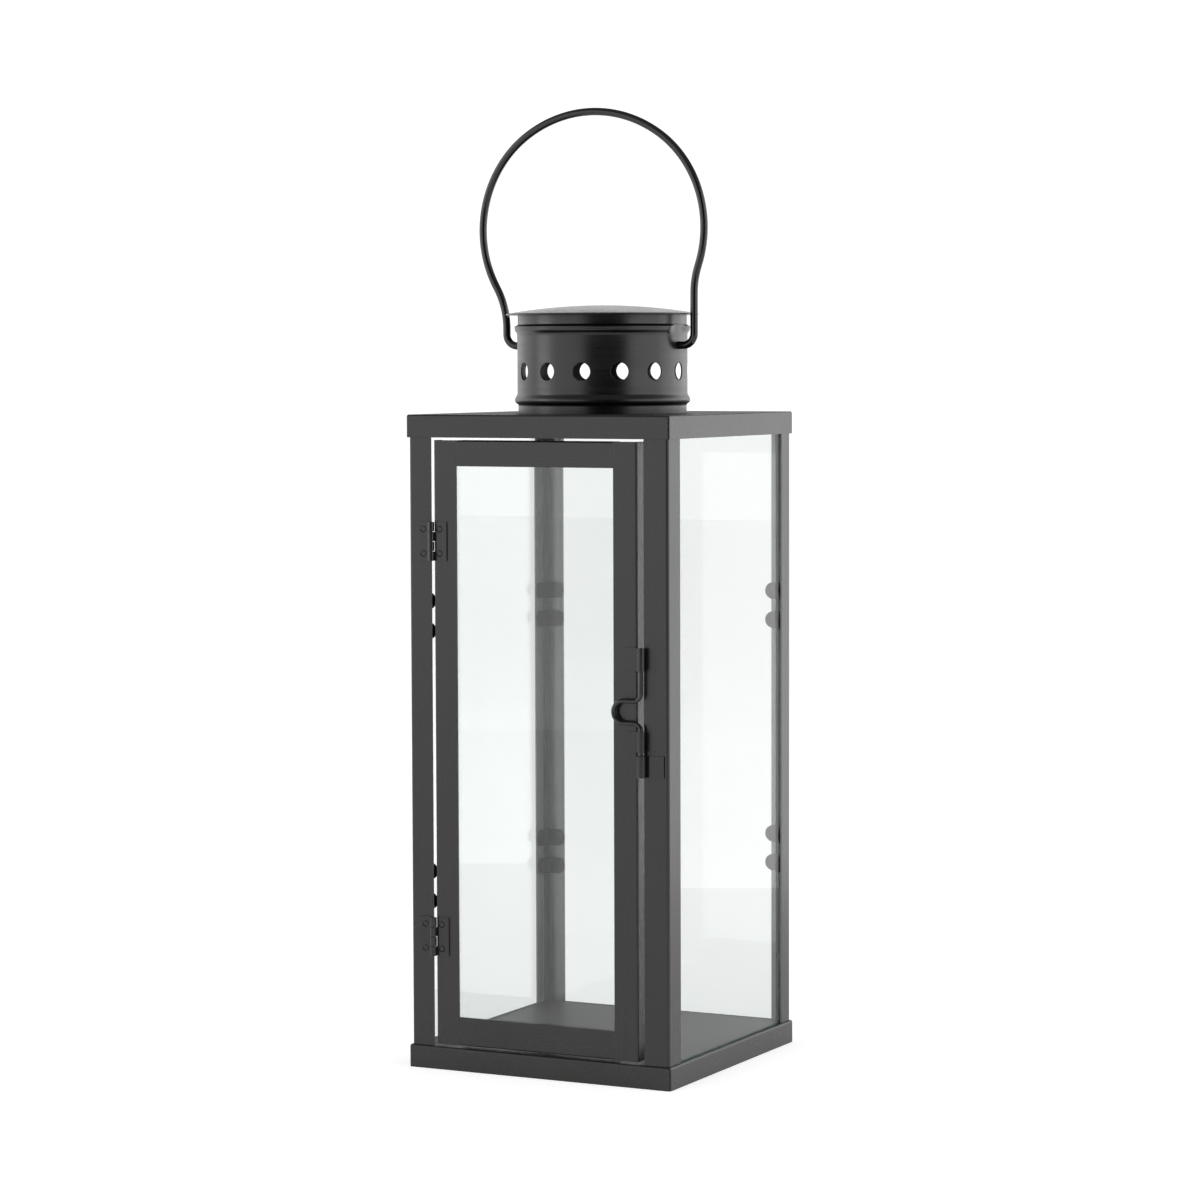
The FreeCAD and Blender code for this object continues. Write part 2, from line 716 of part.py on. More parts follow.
def build_bail():
    """The bail in the XZ plane: feet through the collar, legs outside the lid, three-centred loop."""
    body = new_body("bail_handle")
    foot, flare, side = d("bail_foot"), d("bail_flare"), d("bail_side")
    pivot, end = d("pivot_height"), d("bail_end")
    middle, height = d("bail_offset").value, d("bail_side_height").value
    tilt = math.radians(d("bail_crown_half_angle").value)
    spread = (d("bail_crown").value - side.value) * math.sin(tilt)

    def half_loop(sign, leg):
        """Steps from the foot's end up to the crown on one side, +1 right or -1 left."""
        side_x = sign * middle + spread
        start = flare_start(leg.value, side_x, flare.value)
        reach = V(leg.value + flare.value - side_x, start - height, 0).normalize()
        meet = V(side_x, height, 0) + reach * side.value
        crown = V(side_x + side.value * math.sin(tilt), height + side.value * math.cos(tilt), 0)
        return [
            (end * sign, pivot), ((leg - foot) * sign, pivot), (leg * sign, pivot + foot, foot * sign),
            (leg * sign, start), (sign * meet.x, meet.y, flare * -sign), (sign * crown.x, crown.y, side * sign),
        ]

    right = half_loop(1, d("bail_right"))
    left = half_loop(-1, d("bail_left"))
    steps = right + [(left[-1][0], left[-1][1], d("bail_crown"))]
    for this, following in zip(left[::-1][1:], left[::-1]):
        bend = following[2:]
        steps.append(this[:2] + tuple(-size for size in bend))
    route = path(new_sketch(body, "bail_route", "XZ_Plane"), steps, closed=False)
    section = circle(new_sketch(body, "bail_section", "YZ_Plane", end), 0, pivot, d("bail_wire"))
    pipe(body, "bail_pipe", route, section)


def check_parts():
    """Stops on any failed object, and on any sub-part without a whole, valid shape."""
    doc.recompute()
    for obj in doc.Objects:
        if "Invalid" in obj.State or "Error" in obj.State:
            raise RuntimeError(obj.Label + " failed: " + ", ".join(obj.State))
    for obj in sub_parts:
        shape = obj.Shape
        if shape.isNull() or not shape.isValid() or not shape.Solids:
            raise RuntimeError(obj.Label + " has no valid solid")


def write_parts():
    os.makedirs("parts", exist_ok=True)
    for obj in sub_parts:
        obj.Shape.exportStep("parts/" + obj.Label + ".step")
        print("%-28s %2d solid(s) %10.1f mm3" % (obj.Label, len(obj.Shape.Solids), obj.Shape.Volume))


build_tray()
build_roof()
build_posts()
build_panes()
build_clips()
build_stiles()
build_rails()
build_door_glass()
build_hinges()
build_rivets()
build_guides()
build_bolt()
build_collar()
build_lid()
build_bail()
check_parts()
write_parts()
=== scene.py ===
import json
import math

import bmesh
import bpy
from mathutils import Matrix, Vector


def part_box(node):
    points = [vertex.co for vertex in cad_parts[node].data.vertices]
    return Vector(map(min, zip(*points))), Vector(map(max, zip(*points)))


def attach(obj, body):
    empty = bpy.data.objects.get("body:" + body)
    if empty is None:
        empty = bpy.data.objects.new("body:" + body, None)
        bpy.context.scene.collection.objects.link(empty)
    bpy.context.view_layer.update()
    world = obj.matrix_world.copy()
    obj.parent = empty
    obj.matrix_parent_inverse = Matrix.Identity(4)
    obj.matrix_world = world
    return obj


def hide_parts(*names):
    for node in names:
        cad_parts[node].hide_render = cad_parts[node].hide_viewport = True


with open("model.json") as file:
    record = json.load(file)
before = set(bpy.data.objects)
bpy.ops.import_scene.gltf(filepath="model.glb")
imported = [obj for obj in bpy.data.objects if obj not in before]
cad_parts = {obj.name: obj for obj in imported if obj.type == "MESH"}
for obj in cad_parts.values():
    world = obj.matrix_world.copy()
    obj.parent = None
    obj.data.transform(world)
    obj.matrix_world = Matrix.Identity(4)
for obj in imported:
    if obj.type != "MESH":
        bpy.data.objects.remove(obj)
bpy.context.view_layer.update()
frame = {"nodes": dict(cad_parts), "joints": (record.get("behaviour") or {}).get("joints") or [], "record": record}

MM = 0.001


# ---------------------------------------------------------------- places read from the frame
def box_mm(node):
    """Lowest and highest corner of a CAD node, in millimetres."""
    low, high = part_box(node)
    return low / MM, high / MM


def joint(name):
    """The frame's entry for a joint."""
    return next(j for j in frame["joints"] if j["name"] == name)


COLLAR_LOW = box_mm("chimney_collar")[0]
LID_LOW, LID_HIGH = box_mm("lid_dome")
PIVOT_Z = joint("bail_swing")["pos_m"][2] / MM


# ---------------------------------------------------------------- node materials
def new_material(name):
    """A material with an empty node tree."""
    material = bpy.data.materials.new(name)
    material.use_nodes = True
    tree = material.node_tree
    tree.nodes.clear()
    return material, tree


def add(tree, kind, **settings):
    """A node with its properties set, and with its sockets set where a name is a socket's."""
    node = tree.nodes.new(kind)
    for key, value in settings.items():
        socket = key.replace("_", " ")
        if socket in node.inputs:
            node.inputs[socket].default_value = value
        else:
            setattr(node, key, value)
    return node


def noise(tree, scale, detail=4.0, stretch=(1, 1, 1), roughness=0.55):
    """Noise in the row frame's own metres, so it stays at its real scale on every piece."""
    place = add(tree, "ShaderNodeTexCoord")
    mapping = add(tree, "ShaderNodeMapping")
    mapping.inputs["Scale"].default_value = stretch
    pattern = add(tree, "ShaderNodeTexNoise", Scale=scale, Detail=detail, Roughness=roughness)
    tree.links.new(place.outputs["Object"], mapping.inputs["Vector"])
    tree.links.new(mapping.outputs["Vector"], pattern.inputs["Vector"])
    return pattern.outputs["Fac"]


def spread(tree, value, low, high, start=0.3, end=0.7):
    """A value between start and end, spread over low to high."""
    node = add(tree, "ShaderNodeMapRange")
    for key, number in (("From Min", start), ("From Max", end), ("To Min", low), ("To Max", high)):
        node.inputs[key].default_value = number
    tree.links.new(value, node.inputs["Value"])
    return node.outputs["Result"]


def combine(tree, operation, first, second):
    """One number from two, each a constant or the output of another node."""
    node = add(tree, "ShaderNodeMath", operation=operation)
    for index, value in enumerate((first, second)):
        if isinstance(value, (int, float)):
            node.inputs[index].default_value = value
        else:
            tree.links.new(value, node.inputs[index])
    return node.outputs["Value"]


def blend_colours(tree, factor, first, second):
    """first and second are colours or the outputs of other nodes."""
    node = add(tree, "ShaderNodeMix", data_type="RGBA")
    tree.links.new(factor, node.inputs["Factor"])
    for name, colour in (("A", first), ("B", second)):
        socket = next(s for s in node.inputs if s.name == name and s.type == "RGBA")
        if isinstance(colour, tuple):
            socket.default_value = (*colour, 1)
        else:
            tree.links.new(colour, socket)
    return next(s for s in node.outputs if s.type == "RGBA")


def edge_mask(tree, radius):
    """1 on edges and 0 on flat faces, with the normal that rounds the edges over."""
    bevel = add(tree, "ShaderNodeBevel", Radius=radius, samples=6)
    flat = add(tree, "ShaderNodeNewGeometry")
    dot = add(tree, "ShaderNodeVectorMath", operation="DOT_PRODUCT")
    tree.links.new(bevel.outputs["Normal"], dot.inputs[0])
    tree.links.new(flat.outputs["Normal"], dot.inputs[1])
    return spread(tree, dot.outputs["Value"], 1.0, 0.0, 0.8, 0.995), bevel.outputs["Normal"]


def facing_up(tree):
    """1 on faces that look up, which are rubbed and dusty, and 0 on the others."""
    place = add(tree, "ShaderNodeTexCoord")
    split = add(tree, "ShaderNodeSeparateXYZ")
    tree.links.new(place.outputs["Normal"], split.inputs["Vector"])
    return spread(tree, split.outputs["Z"], 0.0, 1.0, 0.6, 0.95)


# scales of the paint's patterns, finer as they grow
MOTTLE_SCALE = 22
STREAK_SCALE = 420
# the patches in which the painted highlight lies on the edges
EDGE_HIGHLIGHT_PATCH_SCALE = 140
# the darker tone of the mottle in the paint, and the nearly equal one in glass and paper
DARKER_TONE = 0.75
NEAR_TONE = 0.985
# stretches of the draw marks
EVEN = (1, 1, 1)
ALONG_Z = (1, 1, 0.02)
ALONG_X = (0.02, 1, 1)
ROUND_Z = (0.02, 0.02, 1)


def facing_in(tree):
    """1 on faces near the lantern's outside that look towards its axis, and 0 on the others."""
    place = add(tree, "ShaderNodeTexCoord")
    towards = add(tree, "ShaderNodeVectorMath", operation="DOT_PRODUCT")
    tree.links.new(place.outputs["Object"], towards.inputs[0])
    tree.links.new(place.outputs["Normal"], towards.inputs[1])
    # the product is the distance in metres of the face's plane from the axis, negative on inner faces
    return spread(tree, towards.outputs["Value"], 1.0, 0.0, -0.07, -0.04)


def paint(name, colour, edge_highlight, roughness, grain, bump, edge=0.0004, drawn=EVEN, dust=0.0, inside=None):
    """Baked paint: fine orange peel, draw marks along the sheet, a faint mottle and a painted highlight on the
    edges, laid on in patches.

    grain is the scale of the orange peel and bump its strength. The argument after colour is the colour painted on
    the edges as a painted highlight, and edge is their radius in metres. drawn is the stretch of the draw marks.
    dust is added to the roughness of faces that look up. inside is a lighter colour painted on faces that look
    inwards as painted light, for the light and reflections they catch behind the glass.
    """
    material, tree = new_material(name)
    mottle = noise(tree, MOTTLE_SCALE, 3)
    speck = noise(tree, grain, 2)
    streak = noise(tree, STREAK_SCALE, 3, drawn)
    edges, rounded = edge_mask(tree, edge)
    base = blend_colours(tree, spread(tree, mottle, 0, 1), tuple(c * DARKER_TONE for c in colour), colour)
    # painted light: faces that look towards the axis are painted a lighter grey
    if inside:
        base = blend_colours(tree, facing_in(tree), base, inside)
    # painted highlight: edges are painted a lighter colour in patches, for the thin light lines that edges catch
    edge_highlight_mask = combine(tree, "MULTIPLY", edges, spread(tree, noise(tree, EDGE_HIGHLIGHT_PATCH_SCALE, 5), 0.0, 0.7, 0.35, 0.7))
    edge_highlighted = blend_colours(tree, edge_highlight_mask, base, edge_highlight)
    rough = combine(tree, "ADD", spread(tree, mottle, roughness - 0.03, roughness + 0.03),
                    spread(tree, streak, -0.04, 0.04))
    if dust:
        rough = combine(tree, "ADD", rough, combine(tree, "MULTIPLY", facing_up(tree), dust))
    shader = add(tree, "ShaderNodeBsdfPrincipled")
    tree.links.new(edge_highlighted, shader.inputs["Base Color"])
    tree.links.new(rough, shader.inputs["Roughness"])
    peel = add(tree, "ShaderNodeBump", Strength=bump, Distance=0.00003)
    tree.links.new(combine(tree, "ADD", speck, combine(tree, "MULTIPLY", streak, 0.5)), peel.inputs["Height"])
    tree.links.new(rounded, peel.inputs["Normal"])
    tree.links.new(peel.outputs["Normal"], shader.inputs["Normal"])
    output = add(tree, "ShaderNodeOutputMaterial")
    tree.links.new(shader.outputs["BSDF"], output.inputs["Surface"])
    return material


def clear_glass(name, tint, ior=1.5):
    """Glass that is faintly green through its face, with slight waves. Shadow rays pass straight through."""
    material, tree = new_material(name)
    shader = add(tree, "ShaderNodeBsdfPrincipled", IOR=ior)
    shader.inputs["Transmission Weight"].default_value = 1.0
    smear = noise(tree, 9, 3)
    colour = blend_colours(tree, spread(tree, smear, 0, 1), tint, tuple(c * NEAR_TONE for c in tint))
    tree.links.new(colour, shader.inputs["Base Color"])
    tree.links.new(spread(tree, smear, 0.0, 0.012), shader.inputs["Roughness"])
    waves = add(tree, "ShaderNodeBump", Strength=0.02, Distance=0.0002)
    tree.links.new(noise(tree, 6, 1), waves.inputs["Height"])
    tree.links.new(waves.outputs["Normal"], shader.inputs["Normal"])
    ray = add(tree, "ShaderNodeLightPath")
    through = add(tree, "ShaderNodeBsdfTransparent", Color=(0.95, 0.965, 0.96, 1))
    mix = add(tree, "ShaderNodeMixShader")
    output = add(tree, "ShaderNodeOutputMaterial")
    tree.links.new(ray.outputs["Is Shadow Ray"], mix.inputs["Fac"])
    tree.links.new(shader.outputs["BSDF"], mix.inputs[1])
    tree.links.new(through.outputs["BSDF"], mix.inputs[2])
    tree.links.new(mix.outputs["Shader"], output.inputs["Surface"])
    return material


def cut_glass_edge():
    """The ground edge of the panes: green where the light runs along inside the glass."""
    material, tree = new_material("cut_glass_edge")
    chips = noise(tree, 260, 5, (1, 1, 0.3))
    colour = blend_colours(tree, spread(tree, chips, 0, 1), (0.02, 0.065, 0.05), (0.13, 0.26, 0.21))
    shader = add(tree, "ShaderNodeBsdfPrincipled", IOR=1.5)
    tree.links.new(colour, shader.inputs["Base Color"])
    tree.links.new(spread(tree, chips, 0.22, 0.5), shader.inputs["Roughness"])
    ground = add(tree, "ShaderNodeBump", Strength=0.3, Distance=0.0001)
    tree.links.new(noise(tree, 1500, 3), ground.inputs["Height"])
    tree.links.new(ground.outputs["Normal"], shader.inputs["Normal"])
    output = add(tree, "ShaderNodeOutputMaterial")
    tree.links.new(shader.outputs["BSDF"], output.inputs["Surface"])
    return material


SHEET_BLACK = (0.0098, 0.0096, 0.0086)
# painted highlight: the lighter colour painted on the sheet's edges
SHEET_EDGE_HIGHLIGHT = (0.045, 0.044, 0.041)
# painted light: the lighter grey painted on the posts' faces that look towards the axis, for the light and
# reflections they catch behind the glass
INWARD_PAINTED_LIGHT_GREY = (0.22, 0.226, 0.216)
# painted highlight: the lighter colour painted on the edges of the spun parts
SPUN_EDGE_HIGHLIGHT = (0.02, 0.02, 0.019)
# the third value of each paint is the colour of its painted edge highlight
MATERIALS = {
    "black_sheet": paint("folded_sheet_paint", SHEET_BLACK, SHEET_EDGE_HIGHLIGHT, roughness=0.3, grain=900, bump=0.15,
                         dust=0.2),
    "post_paint": paint("drawn_post_paint", SHEET_BLACK, SHEET_EDGE_HIGHLIGHT, roughness=0.28, grain=900, bump=0.2,
                        drawn=ALONG_Z, inside=INWARD_PAINTED_LIGHT_GREY),
    "rail_paint": paint("drawn_rail_paint", SHEET_BLACK, SHEET_EDGE_HIGHLIGHT, roughness=0.28, grain=900, bump=0.2,
                        drawn=ALONG_X),
    "collar_paint": paint("spun_collar_paint", (0.0038, 0.0037, 0.0033), SPUN_EDGE_HIGHLIGHT, roughness=0.3, grain=1100,
                          bump=0.08, drawn=ROUND_Z),
    "wire_paint": paint("gloss_wire_paint", (0.005, 0.005, 0.005), (0.03, 0.03, 0.028), roughness=0.17,
                        grain=1300, bump=0.1),
    "lid_paint": paint("spun_lid_paint", (0.0045, 0.0044, 0.004), SPUN_EDGE_HIGHLIGHT, roughness=0.245, grain=1100,
                       bump=0.06),
    "fittings_paint": paint("fittings_paint", (0.008, 0.008, 0.0076), (0.05, 0.05, 0.047), roughness=0.18,
                            grain=1200, bump=0.15, edge=0.0002),
    "clear_glass": clear_glass("float_glass", (0.855, 0.872, 0.866)),
    "coated_glass": clear_glass("low_reflection_glass", (0.862, 0.876, 0.872), ior=1.24),
    "glass_edge": cut_glass_edge(),
}


def finish_of(entry):
    """The material of a node: its slot's, or drawn paint on the posts, stiles and rails."""
    node = entry["node"]
    if node.startswith(("post_", "door_stile_")):
        return MATERIALS["post_paint"]
    if node.startswith("door_rail_"):
        return MATERIALS["rail_paint"]
    return MATERIALS[entry["material_slot"]]


def dress_cad_nodes():
    """Gives every CAD node its paint or glass."""
    for entry in frame["record"]["subparts"]:
        node = frame["nodes"][entry["node"]]
        node.data.materials.clear()
        node.data.materials.append(finish_of(entry))


# ---------------------------------------------------------------- mesh pieces
def new_piece(name, mesh, body, slot, *nodes):
    """A mesh piece that rides on a body and stands for CAD nodes."""
    piece = bpy.data.objects.new(name, mesh)
    bpy.context.scene.collection.objects.link(piece)
    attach(piece, body)
    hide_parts(*nodes)
    return piece


def smooth_shade(mesh, sharp_angle=35):
    """Smooth shading, broken only at edges sharper than an angle in degrees."""
    work = bmesh.new()
    work.from_mesh(mesh)
    for face in work.faces:
        face.smooth = True
    limit = math.radians(sharp_angle)
    for edge in work.edges:
        edge.smooth = len(edge.link_faces) == 2 and edge.calc_face_angle(0) < limit
    work.to_mesh(mesh)
    work.free()


def lathe(name, profile, segments):
    """A closed surface of revolution about Z. profile(angle) gives the ring of (radius, height) in mm."""
    work = bmesh.new()
    rings = []
    for step in range(segments):
        angle = math.tau * step / segments
        turn = Vector((math.cos(angle), math.sin(angle), 0))
        rings.append([work.verts.new((turn * r + Vector((0, 0, z))) * MM) for r, z in profile(angle)])
    count = len(rings[0])
    for this, following in zip(rings, rings[1:] + rings[:1]):
        for i in range(count):
            j = (i + 1) % count
            work.faces.new((this[i], following[i], following[j], this[j]))
    bmesh.ops.recalc_face_normals(work, faces=work.faces)
    mesh = bpy.data.meshes.new(name)
    work.to_mesh(mesh)
    work.free()
    return mesh


HOLE_SEGMENTS = 48


def drill(mesh_object, drills):
    """Cuts round holes: each drill is (radius, start, end), in mm."""
    cutters = bmesh.new()
    for radius, start, end in drills:
        along = end - start
        turn = along.to_track_quat("Z", "Y").to_matrix().to_4x4()
        place = Matrix.Translation((start + end) / 2 * MM) @ turn
        bmesh.ops.create_cone(cutters, cap_ends=True, segments=HOLE_SEGMENTS, radius1=radius * MM,
                              radius2=radius * MM, depth=along.length * MM, matrix=place)
    tool_mesh = bpy.data.meshes.new("drills")
    cutters.to_mesh(tool_mesh)
    cutters.free()
    tool = bpy.data.objects.new("drills", tool_mesh)
    bpy.context.scene.collection.objects.link(tool)
    modifier = mesh_object.modifiers.new("drilled", "BOOLEAN")
    modifier.operation = "DIFFERENCE"
    modifier.solver = "EXACT"
    modifier.object = tool
    view_of = bpy.context.evaluated_depsgraph_get()
    result = bpy.data.meshes.new_from_object(mesh_object.evaluated_get(view_of))
    mesh_object.modifiers.clear()
    mesh_object.data = result
    bpy.data.objects.remove(tool)
    bpy.data.meshes.remove(tool_mesh)


def eased(keys, value):
    """A smooth curve through (place, height) keys that lies level at each of them."""
    for (start, low), (end, high) in zip(keys, keys[1:]):
        if start <= value <= end:
            share = (value - start) / (end - start)
            return low + (high - low) * (1 - math.cos(math.pi * share)) / 2
    return keys[0][1] if value < keys[0][0] else keys[-1][1]


# ---------------------------------------------------------------- chimney collar
# outer radii of the collar, in mm
NECK = 46.1
BODY = 46.6
CREST = 48.1
HEM = 47.4
WALL = 0.8
HEM_ROUND = 0.2
HEM_HIGH = 0.85
COLLAR_SEGMENTS = 280
# points up the wall between two keys, on the curved stretches and on the long straight ones
CURVE_STEPS = 10
STRAIGHT_STEPS = 3
LONG_STRETCH = 6.0
# how far a drill starts inside the neck and ends outside the crest
DRILL_INSIDE = 6
DRILL_OUTSIDE = 2
# outside of the collar, (height, radius) from the hem under the roof up to the edge under the lid
COLLAR_WALL = (
    (354.15, NECK), (359.3, NECK), (361.5, CREST - 0.1), (362.1, CREST), (366.2, BODY), (397.4, BODY),
    (398.1, BODY + 0.1), (400.6, CREST - 0.15), (402.0, CREST), (403.5, NECK + 0.2), (409.4, NECK + 0.2),
)
BEAD_TOP = 404.0
VENTS = 14
VENT_RADIUS = 4.85
VENT_Z = 377.8
PIVOT_RADIUS = 2.2
# the vents drift round by this much on the side away from VENT_START, where they are even
VENT_DRIFT = math.radians(1.6)
VENT_START = math.radians(-63)
# the flats pressed at the bail's feet: degrees to either side, height where they begin, and depth
PRESS_HALF_ANGLE = 16.0
PRESS_FLAT_ANGLE = 3.5
DISH_LOW = 387.0
DISH_DEPTH = 0.45


def pressed(angle):
    """How far the bead is pressed flat at an angle: 1 in line with the bail's feet, 0 away from them."""
    off = math.degrees(math.asin(abs(math.sin(angle))))
    return eased(((0.0, 1.0), (PRESS_FLAT_ANGLE, 1.0), (PRESS_HALF_ANGLE, 0.0)), off)


def collar_profile(angle):
    """The wall's cross-section at an angle: up the outside, then down the inside."""
    share = pressed(angle)
    steps_up = []
    for (start, _), (end, _) in zip(COLLAR_WALL, COLLAR_WALL[1:]):
        count = CURVE_STEPS if end - start < LONG_STRETCH else STRAIGHT_STEPS
        steps_up += [start + (end - start) * i / count for i in range(count)]
    steps_up.append(COLLAR_WALL[-1][0])
    outside = []
    for z in steps_up:
        radius = eased(COLLAR_WALL, z)
        if DISH_LOW < z < BEAD_TOP:
            dish = DISH_DEPTH * math.sin(math.pi * (z - DISH_LOW) / (BEAD_TOP - DISH_LOW))
            radius += (min(radius, BODY) - dish - radius) * share
        outside.append((radius, z))
    low = COLLAR_LOW.z
    hem = [(NECK - WALL, low), (HEM - HEM_ROUND, low), (HEM, low + HEM_ROUND), (HEM, low + HEM_HIGH)]
    inside = [(radius - WALL, z) for radius, z in reversed(outside)]
    return hem + outside + inside


def wall_drill(radius, angle, height):
    """A drill through the collar's wall at an angle round it and a height."""
    out = Vector((math.cos(angle), math.sin(angle), 0))
    up = Vector((0, 0, height))
    return radius, up + out * (NECK - DRILL_INSIDE), up + out * (CREST + DRILL_OUTSIDE)


def build_collar():
    """The beaded tube, with the vents and the two holes for the bail's feet."""
    mesh = lathe("chimney_collar_spun", collar_profile, COLLAR_SEGMENTS)
    piece = new_piece("chimney_collar_spun", mesh, "frame", "collar_paint", "chimney_collar")
    drills = []
    for step in range(VENTS):
        angle = math.tau * step / VENTS
        angle -= VENT_DRIFT * (1 - math.cos(angle - VENT_START)) / 2
        drills.append(wall_drill(VENT_RADIUS, angle, VENT_Z))
    for angle in (0, math.pi):
        drills.append(wall_drill(PIVOT_RADIUS, angle, PIVOT_Z))
    drill(piece, drills)
    smooth_shade(piece.data)
    piece.data.materials.clear()
    piece.data.materials.append(MATERIALS["collar_paint"])


# ---------------------------------------------------------------- lid
LID_SHEET = 0.9
RIM_POINTS = 8
DOME_RINGS = 28
LID_SEGMENTS = 256


def build_lid():
    """The domed lid with a rounded rim, turned on the frame's own sizes."""
    rim = LID_HIGH.x
    low = LID_LOW.z
    rise = LID_HIGH.z - low - LID_SHEET
    radius = (rim * rim + rise * rise) / (2 * rise)

    def dome(r):
        return math.sqrt(radius * radius - r * r) - radius + rise

    half = LID_SHEET / 2
    flat_edge = rim - half
    radii = [flat_edge * (1 - i / DOME_RINGS) for i in range(DOME_RINGS)]
    ring = [(r, low + dome(r)) for r in reversed(radii)]
    for i in range(RIM_POINTS + 1):
        turn = -math.pi / 2 + math.pi * i / RIM_POINTS
        ring.append((flat_edge + half * math.cos(turn), low + dome(flat_edge) + half * (1 + math.sin(turn))))
    ring += [(r, low + dome(r) + LID_SHEET) for r in radii]
    mesh = lathe("lid_dome_spun", lambda angle: ring, LID_SEGMENTS)
    close_middle(mesh)
    mesh.materials.append(MATERIALS["lid_paint"])
    smooth_shade(mesh)
    new_piece("lid_dome_spun", mesh, "frame", "collar_paint", "lid_dome")


def close_middle(mesh):
    """Replaces the small tube left round the axis by two flat discs."""
    just_over = 1.01
    work = bmesh.new()
    work.from_mesh(mesh)
    inner = min(math.hypot(v.co.x, v.co.y) for v in work.verts) * just_over
    wall = [f for f in work.faces if all(math.hypot(v.co.x, v.co.y) < inner for v in f.verts)]
    bmesh.ops.delete(work, geom=wall, context="FACES_ONLY")
    edges = [e for e in work.edges if e.is_boundary]
    bmesh.ops.holes_fill(work, edges=edges)
    bmesh.ops.recalc_face_normals(work, faces=work.faces)
    work.to_mesh(mesh)
    work.free()


# ---------------------------------------------------------------- panes
ARRIS = 0.25
# the film of air between a pane and what it lies against
AIR_GAP = 0.03
# a face whose normal is this near to the pane's own is its clear face, and the others are its cut edge
CLEAR_FACE = 0.999


def build_pane(node, body, glass="clear_glass"):
    """A cut pane with its sharp edges taken off and its cut edges in their own material."""
    low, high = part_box(node)
    gap = Vector((AIR_GAP, AIR_GAP, AIR_GAP)) * MM
    low, high = low + gap, high - gap
    size = high - low
    thin = min(range(3), key=lambda axis: size[axis])
    work = bmesh.new()
    place = Matrix.Translation((low + high) / 2) @ Matrix.Diagonal((*size, 1))
    bmesh.ops.create_cube(work, size=1.0, matrix=place)
    bmesh.ops.bevel(work, geom=list(work.edges), offset=ARRIS * MM, segments=2, affect="EDGES", profile=0.5)
    bmesh.ops.recalc_face_normals(work, faces=work.faces)
    for face in work.faces:
        face.material_index = 0 if abs(face.normal[thin]) > CLEAR_FACE else 1
    mesh = bpy.data.meshes.new(node + "_cut")
    work.to_mesh(mesh)
    work.free()
    mesh.materials.append(MATERIALS[glass])
    mesh.materials.append(MATERIALS["glass_edge"])
    new_piece(node + "_cut", mesh, body, "clear_glass", node)


def build_panes():
    """The three fixed panes and the door's own. The right one reflects less than the others."""
    build_pane("glass_left", "frame")
    build_pane("glass_back", "frame")
    build_pane("glass_right", "frame", "coated_glass")
    build_pane("door_glass", "door")


# ---------------------------------------------------------------- studio
def studio_paper(name, colour, glow=0.0):
    """Matt paper with a faint mottle, and a glow of its own where glow is over 0."""
    material, tree = new_material(name)
    shader = add(tree, "ShaderNodeBsdfDiffuse", Roughness=0.5)
    mottle = spread(tree, noise(tree, 3, 2), 0, 1)
    shade = blend_colours(tree, mottle, colour, tuple(c * NEAR_TONE for c in colour))
    tree.links.new(shade, shader.inputs["Color"])
    light = add(tree, "ShaderNodeEmission", Strength=glow)
    both = add(tree, "ShaderNodeAddShader")
    tree.links.new(shader.outputs["BSDF"], both.inputs[0])
    tree.links.new(light.outputs["Emission"], both.inputs[1])
    output = add(tree, "ShaderNodeOutputMaterial")
    tree.links.new(both.outputs["Shader"], output.inputs["Surface"])
    return material


def flat_card(name, width, height, material):
    """A flat sheet of the studio, which is not part of the lantern."""
    mesh = bpy.data.meshes.new(name)
    w, h = width / 2, height / 2
    mesh.from_pydata([(-w, -h, 0), (w, -h, 0), (w, h, 0), (-w, h, 0)], [], [(0, 1, 2, 3)])
    mesh.materials.append(material)
    card = bpy.data.objects.new(name, mesh)
    bpy.context.scene.collection.objects.link(card)
    return card


def around(azimuth, distance, height):
    """A point at an azimuth round the lantern: 0 is in front of the door and 90 is on its right."""
    turn = math.radians(azimuth)
    return Vector((math.sin(turn) * distance, -math.cos(turn) * distance, height))


def aim(obj, target):
    """Turns an object so that its own -Z points at a target."""
    direction = target - obj.location
    obj.rotation_mode = "QUATERNION"
    obj.rotation_quaternion = direction.to_track_quat("-Z", "Y")


# upright lamps: (name, azimuth and half angle in degrees as seen from the lantern, lower and upper edge and
# distance in metres, radiance)
SOFTBOXES = (
    ("softbox_front_left", -22, 21, 0.0, 1.4, 1.9, 0.42),
    ("softbox_left", -58, 11, 0.1, 1.5, 1.9, 2.3),
    ("softbox_far_left", -100, 22, 0.1, 1.3, 1.9, 0.4),
    ("softbox_near_right", 84, 20, 0.05, 1.4, 1.9, 0.9),
    ("softbox_right", 127, 18, 0.0, 1.4, 1.9, 1.4),
    ("softbox_far_right", 155, 16, 0.0, 0.7, 0.7, 0.95),
)


def softbox(name, azimuth, half_angle, low, high, distance, radiance):
    """An upright rectangular lamp that faces the lantern's axis and is not seen by the camera itself."""
    width = 2 * distance * math.tan(math.radians(half_angle))
    light = bpy.data.lights.new(name, "AREA")
    light.shape = "RECTANGLE"
    light.size, light.size_y = width, high - low
    light.energy = radiance * math.pi * width * (high - low)
    lamp = bpy.data.objects.new(name, light)
    bpy.context.scene.collection.objects.link(lamp)
    middle = (low + high) / 2
    lamp.location = around(azimuth, distance, middle)
    lamp.visible_camera = False
    aim(lamp, Vector((0, 0, middle)))


WALL_LIGHT = 1.12
CEILING_LIGHT = 0.3
# sine of the elevation at which the wall's light starts to fall, and at which it is the ceiling's
WALL_TOP = 0.3
CEILING_START = 0.62


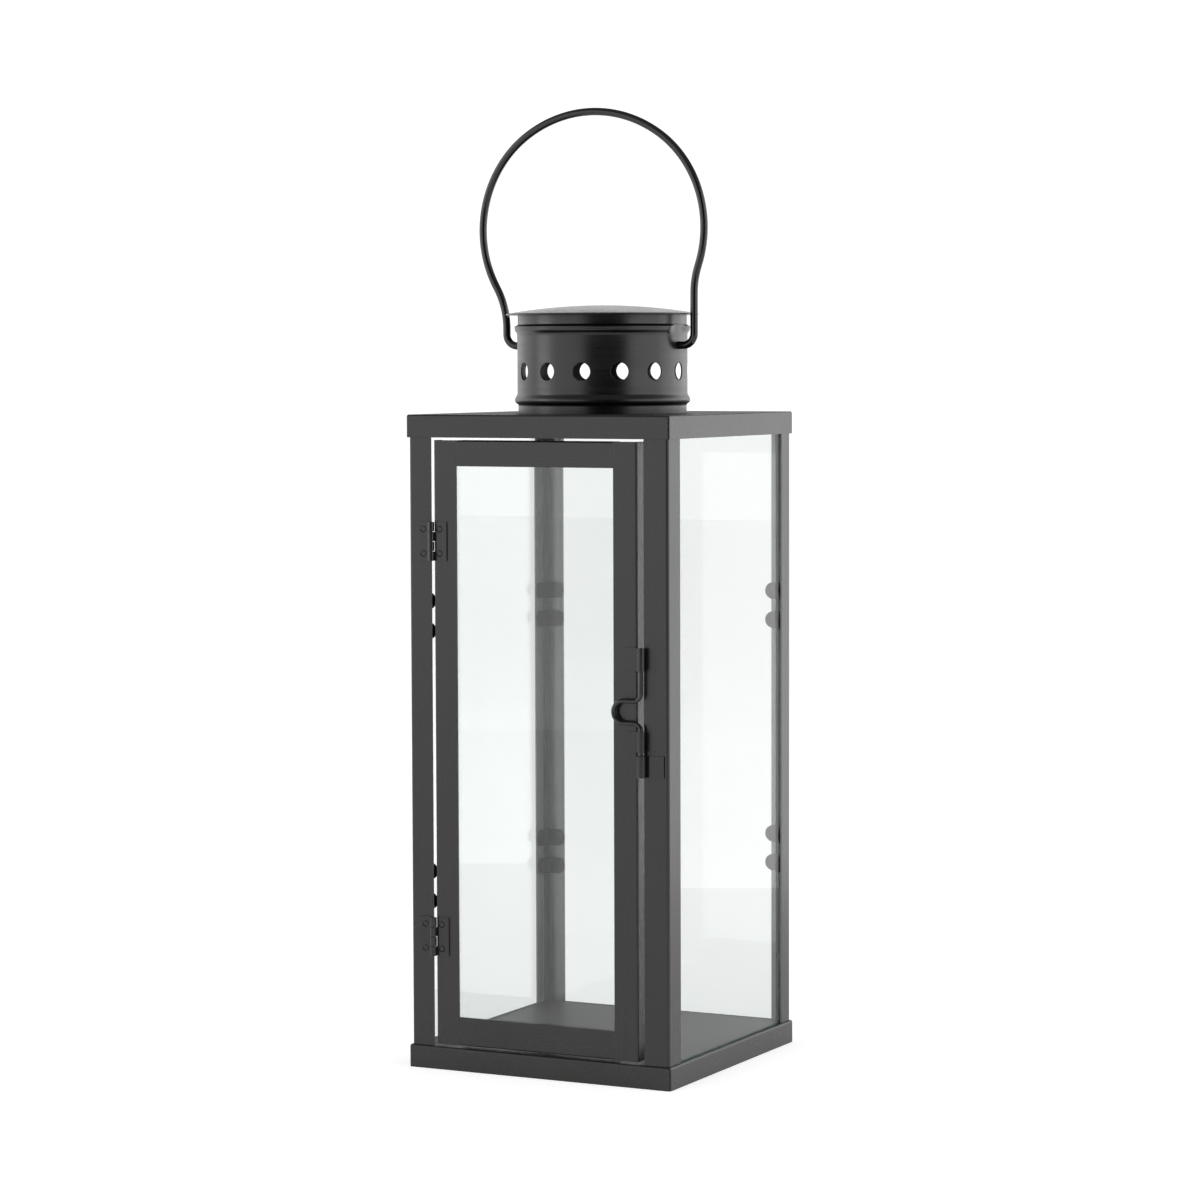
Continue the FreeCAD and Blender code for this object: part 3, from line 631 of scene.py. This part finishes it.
def build_world():
    """White walls all round, and a ceiling that is darker than the walls."""
    world = bpy.data.worlds.new("pale_studio")
    world.use_nodes = True
    tree = world.node_tree
    place = add(tree, "ShaderNodeTexCoord")
    split = add(tree, "ShaderNodeSeparateXYZ")
    tree.links.new(place.outputs["Generated"], split.inputs["Vector"])
    background = tree.nodes["Background"]
    background.inputs["Color"].default_value = (1, 1, 1, 1)
    strength = spread(tree, split.outputs["Z"], WALL_LIGHT, CEILING_LIGHT, WALL_TOP, CEILING_START)
    tree.links.new(strength, background.inputs["Strength"])
    bpy.context.scene.world = world


FLOOR_WIDTH = 12
FLOOR_WHITE = (0.8, 0.8, 0.8)
FLOOR_GLOW = 0.63
FLAG_BLACK = (0.004, 0.004, 0.004)
FLAG_WIDTH, FLAG_HEIGHT = 2.5, 2.0
FLAG_AZIMUTH, FLAG_DISTANCE = 32, 2.45


def build_studio():
    """A white floor, a black flag behind the camera for the dark reflections, and the lamps."""
    paper = studio_paper("studio_paper", FLOOR_WHITE, FLOOR_GLOW)
    floor = flat_card("studio_floor", FLOOR_WIDTH, FLOOR_WIDTH, paper)
    floor.location.z = 0
    flag = flat_card("camera_flag", FLAG_WIDTH, FLAG_HEIGHT, studio_paper("black_flag", FLAG_BLACK))
    flag.location = around(FLAG_AZIMUTH, FLAG_DISTANCE, FLAG_HEIGHT / 2)
    aim(flag, Vector((0, 0, FLAG_HEIGHT / 2)))
    flag.visible_camera = False
    for lamp in SOFTBOXES:
        softbox(*lamp)
    build_world()
    bpy.context.scene.view_settings.view_transform = "Standard"


CAMERA_AZIMUTH, CAMERA_DISTANCE, CAMERA_HEIGHT = 27.052, 2.01384, 0.38637
CAMERA_PITCH, CAMERA_ROLL = math.radians(3.812), math.radians(-0.182)
CAMERA_SIDEWAYS = -0.001746
CAMERA_LENS, CAMERA_SENSOR = 110.08, 36.0


def build_camera():
    """The camera at the photograph's angle: 27 degrees to the right of the door, slightly above the glass."""
    data = bpy.data.cameras.new("camera")
    data.lens, data.sensor_width = CAMERA_LENS, CAMERA_SENSOR
    camera = bpy.data.objects.new("camera", data)
    bpy.context.scene.collection.objects.link(camera)
    turn = math.radians(CAMERA_AZIMUTH)
    right = Vector((math.cos(turn), math.sin(turn), 0))
    camera.location = around(CAMERA_AZIMUTH, CAMERA_DISTANCE, CAMERA_HEIGHT) + right * CAMERA_SIDEWAYS
    # yaw about Z, then pitch down from the horizon, then roll about the line of sight
    camera.rotation_mode = "QUATERNION"
    upright = Matrix.Rotation(turn, 3, "Z") @ Matrix.Rotation(math.pi / 2 - CAMERA_PITCH, 3, "X")
    camera.rotation_quaternion = (upright @ Matrix.Rotation(CAMERA_ROLL, 3, "Z")).to_quaternion()
    bpy.context.scene.camera = camera


dress_cad_nodes()
build_collar()
build_lid()
build_panes()
build_studio()
build_camera()
